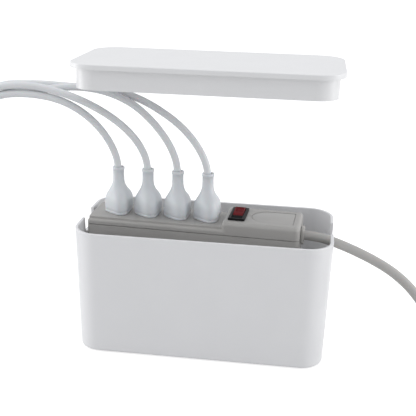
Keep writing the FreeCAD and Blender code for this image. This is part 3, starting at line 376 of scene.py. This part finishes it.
red_cap = Finish("red cap", ROCKER_RED, 0.25, Specular_IOR_Level=0.06)
along_strip = red_cap.node("ShaderNodeMapping", {}, {"Vector": red_cap.place, "Rotation": (0, 0, STRIP_TURN)})
cap_depth = red_cap.node("ShaderNodeSeparateXYZ", {}, {"Vector": along_strip}, "Y")
middle_depth = (lie_askew @ PIVOT).y * math.cos(STRIP_TURN) + (lie_askew @ PIVOT).x * math.sin(STRIP_TURN)
swirl = red_cap.grain(3.5, 3)
red_cap.tint(swirl.rise(0.4, 0.7) * 0.6, (0.2, 0.012, 0.016))
# painted shade: the cap's pressed near end, sunk in the well, is coloured black and made rougher in place of the
# shadow it sits in
pressed_end_painted_shade = 1 - (cap_depth + swirl * 0.0006).rise(middle_depth - PAINTED_SHADE_BEGINS * MM, middle_depth - PAINTED_SHADE_FULL * MM)
red_cap.tint(pressed_end_painted_shade, SWITCH_BLACK)
red_cap.set("Roughness", pressed_end_painted_shade * 0.2 + swirl * 0.08 + 0.16)
red_cap.bump(red_cap.grain(0.5, 3), 0.02, 0.3)
cap = finished("rocker_cap", cap_mesh, red_cap, "rocker", 35)
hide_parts("switch_rocker")


def row_of(name, shape, count, first, step, finish):
    """A row of one small shape, from a node tree with the count, the first place and the step as inputs."""
    tree = bpy.data.node_groups.new(name, "GeometryNodeTree")
    kinds = {"Shape": "NodeSocketObject", "Count": "NodeSocketInt", "First": "NodeSocketVector",
             "Step": "NodeSocketVector"}
    names = {word: tree.interface.new_socket(word, in_out="INPUT", socket_type=kind).identifier
             for word, kind in kinds.items()}
    tree.interface.new_socket("Row", in_out="OUTPUT", socket_type="NodeSocketGeometry")
    given, line, ready, spread, whole, coat, out = (tree.nodes.new(kind) for kind in (
        "NodeGroupInput", "GeometryNodeMeshLine", "GeometryNodeObjectInfo", "GeometryNodeInstanceOnPoints",
        "GeometryNodeRealizeInstances", "GeometryNodeSetMaterial", "NodeGroupOutput"))
    for source, word, target, slot in (
            (given, "Count", line, "Count"), (given, "First", line, "Start Location"),
            (given, "Step", line, "Offset"), (given, "Shape", ready, "Object"),
            (line, "Mesh", spread, "Points"), (ready, "Geometry", spread, "Instance"),
            (spread, "Instances", whole, "Geometry"), (whole, "Geometry", coat, "Geometry"),
            (coat, "Geometry", out, "Row")):
        tree.links.new(source.outputs[word], target.inputs[slot])
    coat.inputs["Material"].default_value = finish.material
    pattern = bpy.data.objects.new(name + "_shape", shape)
    carrier = bpy.data.objects.new(name, bpy.data.meshes.new(name))
    for thing in (pattern, carrier):
        scene.collection.objects.link(thing)
    repeat = carrier.modifiers.new("row", "NODES")
    repeat.node_group = tree
    for word, setting in (("Shape", pattern), ("Count", count), ("First", first), ("Step", step)):
        repeat[names[word]] = setting
    mesh = bpy.data.meshes.new_from_object(carrier.evaluated_get(bpy.context.evaluated_depsgraph_get()))
    for thing in (carrier, pattern):
        bpy.data.objects.remove(thing)
    bpy.data.node_groups.remove(tree)
    return mesh


# fine treads across the cap's far half
TREADS = 6
TREAD_INSET = 0.9
TREAD_FIRST = Vector((0, 3.4, 2.13))
TREAD_STEP = Vector((0, 1.75, 0.17))
tread_rings = [[(x, 0.32 * a, 0.3 * b - 0.08) for a, b in circle(8)]
               for x in (-half_cap + TREAD_INSET, half_cap - TREAD_INSET)]
tread_turn = Matrix.Rotation(-STRIP_TURN, 4, "Z")
treads = row_of("rocker_treads", skin("tread", tread_rings, lie_straight @ tread_turn), TREADS,
                lie_askew @ (PIVOT + TREAD_FIRST), tread_turn @ TREAD_STEP * MM, red_cap)
finished("rocker_treads", treads, red_cap, "rocker", 60)
lamp_glass = Finish("lamp glass", (0.9, 0.5, 0.4), 0.1, Transmission_Weight=0.9)
lamp_glass.bump(lamp_glass.grain(0.8, 2), 0.02, 0.3)
dress(lamp_glass, "switch_lamp")


# Label plate
# A thin D-shaped plate of the cover's plastic, left bare, glued into a shallow recess beside the switch. A fine
# gap shows all round it.
LABEL_RIGHT = 82
LABEL_LONG = 40
LABEL_WIDE = 32
LABEL_GAP = 0.55
LABEL_BASE = SWITCH_FACE - 0.75
LABEL_TOP = LABEL_BASE + 0.6
LABEL_CORNER = 1.2
LABEL_REACH = LABEL_WIDE / 2 - LABEL_GAP
LABEL_CENTRE = LABEL_RIGHT - LABEL_LONG + LABEL_WIDE / 2
LABEL_END = LABEL_RIGHT - LABEL_GAP
LABEL_GREY = (0.42, 0.41, 0.395)


def label_ring(inset, height):
    """The D: a half round at the left, and two tight corners at the right."""
    bow = LABEL_REACH - inset
    points = [(LABEL_CENTRE + bow * math.cos(math.radians(angle)), bow * math.sin(math.radians(angle)))
              for angle in range(90, 271, 6)]
    turn = LABEL_CORNER - inset
    for side, start in ((-1, 270), (1, 0)):
        for angle in range(start, start + 91, 18):
            points.append((LABEL_END - LABEL_CORNER + turn * math.cos(math.radians(angle)),
                           side * (LABEL_REACH - LABEL_CORNER) + turn * math.sin(math.radians(angle))))
    return [(x, STRIP_MIDDLE.y + y, height) for x, y in points]


label_plastic = moulded("label plastic", LABEL_GREY, 0.36, 0.4, 0.015, 0.95, Coat_Weight=0.2)
label_rings = [label_ring(0, LABEL_BASE), label_ring(0, LABEL_TOP - 0.18), label_ring(0.06, LABEL_TOP - 0.05),
               label_ring(0.2, LABEL_TOP)]
label = finished("label_plate_bare", skin("label_plate_bare", label_rings), label_plastic, "strip")
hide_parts("label_plate")


# Strain relief
# A block of softer grey plastic clamped in the strip's end wall, where the lead comes out. Its outer part is a
# flat rounded square with a groove round it.
GRIP_FACE = 88.2 + PART_GAP
GRIP_HEIGHT = 113.6
GRIP_BORE = 4.65
GRIP_POINTS = 48
GRIP_GREY = (0.45, 0.44, 0.42)
# distance from the outer face, reach, and whether the ring is a circle
grip_shape = [(-4.35, 5.85, 1), (-2.25, 5.85, 1), (0, 5.85, 1), (0, 6.8, 0), (0.6, 6.8, 0), (0.65, 7.45, 0),
              (0.8, 7.65, 0), (2.8, 7.65, 0), (3.1, 7.5, 0), (3.2, 7.2, 0), (3.2, 5.2, 1), (3, GRIP_BORE, 1),
              (-4.35, GRIP_BORE, 1)]


def squared(points, power):
    """A circle's points drawn out towards a square's corners; a power of 1 leaves them."""
    return [tuple(math.copysign(abs(part) ** power, part) for part in point) for point in points]


def grip_ring(along, size, is_round):
    """A ring across the lead: a circle, or a rounded square with the same reach."""
    points = circle(GRIP_POINTS) if is_round else squared(circle(GRIP_POINTS), 2 / 5)
    return [(GRIP_FACE + along, STRIP_MIDDLE.y + size * a, GRIP_HEIGHT + size * b) for a, b in points]


grip_rings = [grip_ring(*part) for part in grip_shape]
grip = skin("lead_strain_relief", grip_rings + [grip_rings[0]])
closed = bmesh.new()
closed.from_mesh(grip)
bmesh.ops.delete(closed, geom=[face for face in closed.faces if len(face.verts) > 4], context="FACES_ONLY")
closed.to_mesh(grip)
closed.free()
relief_plastic = moulded("strain relief plastic", GRIP_GREY, 0.5, 0.6, 0.03, 0.92)
grip = finished("lead_strain_relief", grip, relief_plastic, "strip", 50)
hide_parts("cord_grip")


# Plugs
# Four moulded plugs of pale blue-grey PVC: from above a shield that narrows to the left, and drawn in to a round
# neck with a lip for the cord. Two nickel-plated blades and a round earth pin stand in the sockets.
PLUG_FIRST = -86.4
PLUG_PITCH = 28.7
PLUG_BASE = 122.35
PLUG_WIDE = 12.4
PLUG_POINTS = 72
SHIELD_POWER = 20
PLUG_PALE = (0.69, 0.715, 0.74)
# height, half width, and how much the section is a shield
plug_shape = [(0, 11.7, 0.97), (0.4, 12, 0.98), (1.2, 12.2, 1), (2.3, 12.25, 1), (2.55, 12.05, 1), (2.9, 12.38, 1),
              (6, 12.4, 1), (10, 12.4, 0.99), (13, 12.25, 0.97), (15.2, 11.8, 0.93), (17.4, 11.1, 0.86),
              (19.6, 10, 0.74), (21.8, 8.75, 0.58), (24, 7.6, 0.38), (26.2, 6.65, 0.2), (28.4, 5.95, 0.08),
              (31, 5.5, 0), (35, 5.35, 0), (40.8, 5.3, 0), (41, 5.45, 0), (41.15, 5.7, 0), (41.5, 5.8, 0),
              (43.3, 5.75, 0), (43.8, 5.5, 0), (44, 5, 0), (43.8, 3.75, 0), (41, 3.5, 0)]
# the shield's sides: the way each one faces, in degrees from the right, and its distance from the middle
shield_sides = [(0, 11.3), (45, 15.9), (90, 15.5), (123, 11.6), (180, 12.5), (237, 11.6), (270, 15.5),
                (315, 15.9)]


def plug_ring(x, height, wide, shield):
    """A ring between a circle and the shield, which is rounded where its sides meet."""
    points = []
    for i in range(PLUG_POINTS):
        angle = math.tau * i / PLUG_POINTS
        near = sum(max(0, math.cos(angle - math.radians(facing)) / away) ** SHIELD_POWER
                   for facing, away in shield_sides)
        reach = wide * (1 - shield + shield * near ** (-1 / SHIELD_POWER) / PLUG_WIDE)
        points.append((x + reach * math.cos(angle), STRIP_MIDDLE.y + reach * math.sin(angle), PLUG_BASE + height))
    return points


plug_plastic = moulded("plug PVC", PLUG_PALE, 0.38, 0.7, 0.02, 0.96, Subsurface_Weight=0.08, Subsurface_Scale=0.003)
blade_metal = rolled("blade nickel", (0.66, 0.64, 0.58), 0.28)
for i in range(4):
    number = i + 1
    name = f"bottle_plug_{number}"
    rings = [plug_ring(PLUG_FIRST + i * PLUG_PITCH, *part) for part in plug_shape]
    plug = finished(name, skin(name, rings), plug_plastic, "strip", 55)
    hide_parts(f"plug_{number}_body")
    dress(blade_metal, f"plug_{number}_blades", f"plug_{number}_pin")


# Device cords
# Four round PVC cords, 6.8 mm thick, rise from the plugs in arcs, lie side by side over the tub's left end slot
# and hang to the ground, where their unseen length is wound up. Hook tapes hold the bundle and the coil.
CORD = 6.8
COIL_STEP = 7.6
COIL_INNER = 35
COIL_TURNS = 3
PER_TURN = 16
BARREL_POINTS = 32
GRIP_RINGS = 5
RINGS_BEGIN = 3
RING_PITCH = 1.9
CORD_PALE = (0.73, 0.745, 0.76)
BARREL_BLUE = (0.56, 0.59, 0.62)
cord_routes = [
    [(-86.3, 1.9, 154.6), (-86.3, 1.9, 169.5), (-91.3, 1.2, 184.5), (-99.1, -0.8, 198.5), (-110, -3.4, 211.5),
     (-124.5, -5.6, 222.5), (-142.5, -7, 230), (-166, -7.8, 233.3), (-195, -7.6, 231.5), (-217.3, -7.6, 218.6),
     (-230.2, -7.6, 196.3), (-232.2, -7.6, 170), (-232.8, -7.6, 138), (-233, -7.6, 104), (-232.2, -7.6, 70),
     (-230.2, -7.6, 38.4), (-243.1, -7.6, 16.1), (-265.4, -7.6, 4.05), (-291.5, -7.6, 4.05)],
    [(-57.6, 0.4, 154.6), (-57.6, 0.4, 170), (-63.1, -0.6, 185.5), (-72.4, -2.6, 199), (-85, -5, 211),
     (-100.5, -7, 221.3), (-119, -7.6, 230), (-139, -7.8, 236.5), (-165, -7.8, 241.3), (-197, -7.6, 239.1),
     (-222.9, -7.6, 224.2), (-237.8, -7.6, 198.3), (-239.8, -7.6, 170), (-240.4, -7.6, 138),
     (-240.6, -7.6, 104), (-239.8, -7.6, 70), (-237.8, -7.6, 40.4), (-248.7, -7.6, 22.5),
     (-267.4, -7.6, 11.65), (-291.5, -7.6, 11.65)],
    [(-29, -1.1, 154.6), (-29, -1.1, 170), (-34.5, -1, 186), (-43.5, -1, 200.5), (-55.5, -0.5, 214),
     (-70.5, 0, 226.3), (-89, 0.1, 235), (-109, 0, 239.5), (-130, -0.1, 240.1), (-150, -0.5, 237.2),
     (-171, -0.5, 233.1), (-195, 0, 231.5), (-217.3, 0, 218.6), (-230.2, 0, 196.3), (-232.2, 0, 170),
     (-232.8, 0, 138), (-233, 0, 104), (-232.2, 0, 70), (-230.2, 0, 38.4), (-243.1, 0, 16.1),
     (-265.4, 0, 4.05), (-291.5, 0, 4.05)],
    [(-0.3, -2.6, 154.6), (-0.3, -2.6, 169), (-6.5, -1.5, 184), (-16.8, 1, 198), (-31, 3, 211), (-48.5, 5, 222),
     (-67.5, 6.8, 231), (-88.5, 7.6, 236.5), (-111, 7.8, 238.5), (-134, 7.8, 238.8), (-158, 5.5, 240.3),
     (-178, 1.5, 240.3), (-197, 0, 239.1), (-222.9, 0, 224.2), (-237.8, 0, 198.3), (-239.8, 0, 170),
     (-240.4, 0, 138), (-240.6, 0, 104), (-239.8, 0, 70), (-237.8, 0, 40.4), (-248.7, 0, 22.5),
     (-267.4, 0, 11.65), (-291.5, 0, 11.65)],
]
outward = 1 / math.cos(math.pi / PER_TURN)


def ease(share):
    """Rises smoothly from 0 to 1 while the share does."""
    share = min(max(share, 0), 1)
    return share * share * (3 - 2 * share)


def smooth_line(points):
    """Points in metres along the smooth line that the given points, in millimetres, pull."""
    curve = bpy.data.curves.new("line", "CURVE")
    curve.dimensions = "3D"
    curve.resolution_u = 8
    spline = curve.splines.new("NURBS")
    spline.points.add(len(points) - 1)
    for point, place in zip(spline.points, points):
        point.co = (*(Vector(place) * MM), 1)
    spline.order_u = 3
    spline.use_endpoint_u = True
    thing = bpy.data.objects.new("line", curve)
    mesh = bpy.data.meshes.new_from_object(thing)
    line = [vert.co.copy() for vert in mesh.vertices]
    bpy.data.meshes.remove(mesh)
    bpy.data.objects.remove(thing)
    return line


def sheath(name, colour, rough):
    """A cord's satin sheath, with a fine skin and a slow waviness."""
    finish = Finish(name, colour, rough, Subsurface_Weight=0.08, Subsurface_Scale=0.002)
    fine = finish.grain(0.9, 3)
    wave = finish.grain(14, 2)
    finish.tint(wave.rise(0.35, 0.7) * 0.5, [part * 0.95 for part in colour])
    finish.set("Roughness", wave * 0.12 + fine * 0.08 + (rough - 0.1))
    return finish.bump(wave, 0.15, 0.25).bump(fine, 0.02, 0.35)


def cord_tube(name, line, thick, finish, body, sides=20):
    """A round tube along a line, with closed ends and no twist."""
    rings = []
    side = None
    for i, place in enumerate(line):
        ahead = (line[min(i + 1, len(line) - 1)] - line[max(i - 1, 0)]).normalized()
        side = side or ahead.orthogonal()
        side = (side - ahead * side.dot(ahead)).normalized()
        other = ahead.cross(side)
        rings.append([place + (side * a + other * b) * thick / 2 * MM for a, b in circle(sides)])
    return finished(name, skin(name, rings, Matrix()), finish, body, 60)


cord_skin = sheath("cord sheath", CORD_PALE, 0.4)
connector_plastic = moulded("connector grip", BARREL_BLUE, 0.42, 0.6, 0.03, 0.93)
first_end = Vector(cord_routes[0][-1])
third_end = Vector(cord_routes[2][-1])
coil_middle = Vector((first_end.x - CORD, third_end.y + COIL_INNER, 0))
cord_ahead = Vector((-CORD, 0, 0))
# the connector's barrel and its bare tip: distance from the cord's end, radius
barrel_shape = [(-0.2, 3.3), (0, 3.5), (0.6, 3.6), (12.6, 3.6), (13.7, 3.4), (14, 2.9), (14.05, 2.75), (21.9, 2.75),
                   (22.7, 2.5), (23, 1.9)]
for i, route in enumerate(cord_routes):
    number = i + 1
    start = Vector(route[-1])
    radius = coil_middle.y - start.y
    turns = []
    for step in range(PER_TURN * COIL_TURNS + 1):
        turn = step / PER_TURN
        angle = -math.pi / 2 - math.tau * turn
        rise = turn // 1 + ease((turn % 1 - 0.1) / 0.7)
        away = radius * (outward if 0 < step < PER_TURN * COIL_TURNS else 1)
        turns.append(coil_middle + Vector((away * math.cos(angle), away * math.sin(angle),
                                           start.z + 2 * COIL_STEP * rise)))
    tail = turns[-1] + cord_ahead
    line = smooth_line(route + turns + [tail])
    split = min(range(len(line)), key=lambda place: (line[place] - start * MM).length)
    free = line[:split + 1]
    wound = line[split:]
    run = cord_tube(f"device_cord_{number}", free, CORD, cord_skin, "root")
    coil = cord_tube(f"device_cord_{number}_put_away", wound, CORD, cord_skin, "root")
    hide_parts(f"cord_{number}_run")
    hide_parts(f"cord_{number}_coil")

    rings = [[(tail.x - along, tail.y + size * a, tail.z + size * b) for a, b in circle(BARREL_POINTS)]
             for along, size in barrel_shape]
    barrel = finished(f"device_end_{number}", skin(f"device_end_{number}", rings, lie_straight), connector_plastic,
                      "root", 50)
    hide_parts(f"cord_{number}_connector")
    ring = [[(along, size * a, size * b) for a, b in circle(BARREL_POINTS)]
            for along, size in ((-0.5, 3.4), (-0.35, 3.72), (0.35, 3.72), (0.5, 3.4))]
    grips = row_of(f"device_end_{number}_rings", skin("grip_ring", ring, lie_straight), GRIP_RINGS,
                   (tail - Vector((RINGS_BEGIN, 0, 0))) * MM, Vector((-RING_PITCH, 0, 0)) * MM, connector_plastic)
    grips = finished(f"device_end_{number}_rings", grips, connector_plastic, "root", 60)
    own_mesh(run)

hook_tape = Finish("hook tape", (0.045, 0.045, 0.05), 0.8, Sheen_Weight=0.4)
pile = hook_tape.grain(0.7, 4)
weave = hook_tape.grain(1.6, 2, (1, 3, 3))
hook_tape.tint(pile.rise(0.4, 0.7) * 0.7, (0.09, 0.09, 0.1))
hook_tape.set("Roughness", weave * 0.2 + 0.7)
hook_tape.bump(pile, 0.2, 0.6).bump(weave, 0.15, 0.4)
dress(hook_tape, "cord_tie", "cord_wrap", "lead_tie")


# Lead
# The strip's own lead, a round 9 mm grey PVC cord: out of the strain relief, over the tub's right end slot, down
# to the ground and into a coil tied with hook tape. It ends in a moulded grounded plug.
LEAD = 9
LEAD_STEP = 9.6
LEAD_COIL_OUTER = 53
LEAD_TURNS = 4
PLUG_CLIMB = 17.5
END_POINTS = 64
RIDGES = 5
RIDGE_SIDE = 12.05
RIDGE_PITCH = 2.6
LEAD_GREY = (0.44, 0.43, 0.415)
lead_route = [(84.6, -7.02, 113.6), (103, -8, 113.6), (120, -8.6, 109), (137, -10, 103.2), (155, -11, 95.6),
              (174, -13.5, 86), (191, -17.5, 73), (205, -21, 56.5), (216, -24, 37.5), (229, -26.5, 18.5),
              (246, -27.8, 8.4), (262, -28, 5.6), (276, -28, 5.6)]
lead_end = Vector(lead_route[-1])
lead_middle = Vector((lead_end.x + LEAD, lead_end.y + LEAD_COIL_OUTER, 0))
turns = []
for step in range(PER_TURN * LEAD_TURNS + 1):
    turn = step / PER_TURN
    half = LEAD_TURNS / 2
    radius = LEAD_COIL_OUTER - LEAD_STEP * (half - abs(turn - half))
    radius *= outward if 0 < step < PER_TURN * LEAD_TURNS else 1
    angle = -math.pi / 2 + math.tau * turn
    height = lead_end.z + LEAD_STEP * ease((turn - half) * 2 + 0.5) + PLUG_CLIMB * ease((turn - LEAD_TURNS + 0.5) * 2)
    turns.append(lead_middle + Vector((radius * math.cos(angle), radius * math.sin(angle), height)))
tail = turns[-1] + Vector((LEAD, 0, 0))
line = smooth_line(lead_route + turns + [tail])
lead = cord_tube("strip_lead", line, LEAD, sheath("lead sheath", LEAD_GREY, 0.42), None, 24)
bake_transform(lead)
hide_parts("lead_run", "lead_coil")

# the lead's plug: distance from the lead's end, half width, half height, squareness
end_shape = [(0, 5, 5, 2), (0.3, 5.6, 5.6, 2), (1.2, 5.9, 5.9, 2), (6.2, 6, 6, 2), (8, 7.2, 7.2, 2.3),
             (10.5, 9.8, 9.4, 2.8), (13, 11.6, 11, 3.4), (16, 12.3, 11.8, 4), (20, 12.1, 12, 4.6),
             (25, 11.7, 12, 5), (30, 12, 12, 5), (34, 12.4, 12, 5), (37, 12.4, 11.9, 5), (37.8, 12.1, 11.6, 5),
             (38, 11.6, 11.1, 5)]
rings = [[(tail.x + along, tail.y + across * a, tail.z + high * b)
          for a, b in squared(circle(END_POINTS), 2 / square)] for along, across, high, square in end_shape]
lead_plastic = moulded("lead plug PVC", LEAD_GREY, 0.42, 0.6, 0.03, 0.94)
plug = finished("grounded_plug", skin("grounded_plug", rings, lie_straight), lead_plastic,
                "root", 50)
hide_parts("lead_plug_body")
dress(blade_metal, "lead_plug_blades", "lead_plug_pin")
ridge = [[(size * a, size * b, z) for a, b in circle(8)]
         for z, size in ((-7.5, 0.5), (-7, 0.7), (7, 0.7), (7.5, 0.5))]
ridges = [row_of(f"finger_ridges_{side}", skin("ridge", ridge, lie_straight), RIDGES,
                 (tail + Vector((19, side * RIDGE_SIDE, 0))) * MM, Vector((RIDGE_PITCH, 0, 0)) * MM, lead_plastic)
          for side in (-1, 1)]
both = bmesh.new()
for mesh in ridges:
    both.from_mesh(mesh)
both.to_mesh(ridges[0])
both.free()
ridges = finished("finger_ridges", ridges[0], lead_plastic, "root", 60)


# Studio
# A plain pale floor under an even surround, and soft lamps above and to both sides. The floor shows its own
# white to the eye and to mirror-like surfaces only, so it keeps the shadow and adds no light from below.
FLOOR_REACH = 9
FLOOR_DEPTH = 0.0004
FLOOR_GREY = (0.6, 0.6, 0.6)
FLOOR_SHOWN = 0.72
SURROUND_WHITE = (0.97, 0.98, 1, 1)
SURROUND_STRENGTH = 0.78
floor_mesh = bpy.data.meshes.new("floor")
floor_mesh.from_pydata([(-FLOOR_REACH, -FLOOR_REACH, 0), (FLOOR_REACH, -FLOOR_REACH, 0),
                        (FLOOR_REACH, FLOOR_REACH, 0), (-FLOOR_REACH, FLOOR_REACH, 0)], [], [(0, 1, 2, 3)])
floor = bpy.data.objects.new("floor", floor_mesh)
floor.location.z = -FLOOR_DEPTH
scene.collection.objects.link(floor)
studio_floor = Finish("studio floor", FLOOR_GREY, 0.9, Emission_Strength=1)
seen = studio_floor.node("ShaderNodeLightPath", output="Is Camera Ray")
mirrored = studio_floor.node("ShaderNodeLightPath", output="Is Glossy Ray")
through = studio_floor.node("ShaderNodeLightPath", output="Is Transmission Ray")
shown = seen + mirrored + through
studio_floor.set("Emission Color", studio_floor.node(
    "ShaderNodeMix", {"data_type": "RGBA"},
    {"Factor": shown.math("MINIMUM", shown, 1), "A": (0, 0, 0, 1),
     "B": (FLOOR_SHOWN, FLOOR_SHOWN, FLOOR_SHOWN, 1)}, "Result"))
floor_mesh.materials.append(studio_floor.material)

scene.view_settings.view_transform = "Standard"
surround = bpy.data.worlds.new("surround")
surround.use_nodes = True
surround.node_tree.nodes["Background"].inputs["Color"].default_value = SURROUND_WHITE
surround.node_tree.nodes["Background"].inputs["Strength"].default_value = SURROUND_STRENGTH
scene.world = surround


def soft_lamp(name, place, target, size, power):
    """A round soft lamp at a place, turned to its target; the power is in watts."""
    light = bpy.data.lights.new(name, "AREA")
    light.shape = "DISK"
    light.size = size
    light.energy = power
    thing = bpy.data.objects.new(name, light)
    thing.location = place
    thing.rotation_euler = (Vector(target) - Vector(place)).to_track_quat("-Z", "Y").to_euler()
    scene.collection.objects.link(thing)


soft_lamp("lamp above", (-0.1, 0.1, 1.5), (0, 0, 0.15), 1.2, 3.5)
soft_lamp("lamp at the left", (-1.3, -0.05, 0.4), (0, 0, 0.12), 0.8, 6.5)
soft_lamp("lamp at the right", (1.3, -0.05, 0.4), (0, 0, 0.12), 0.8, 5.5)
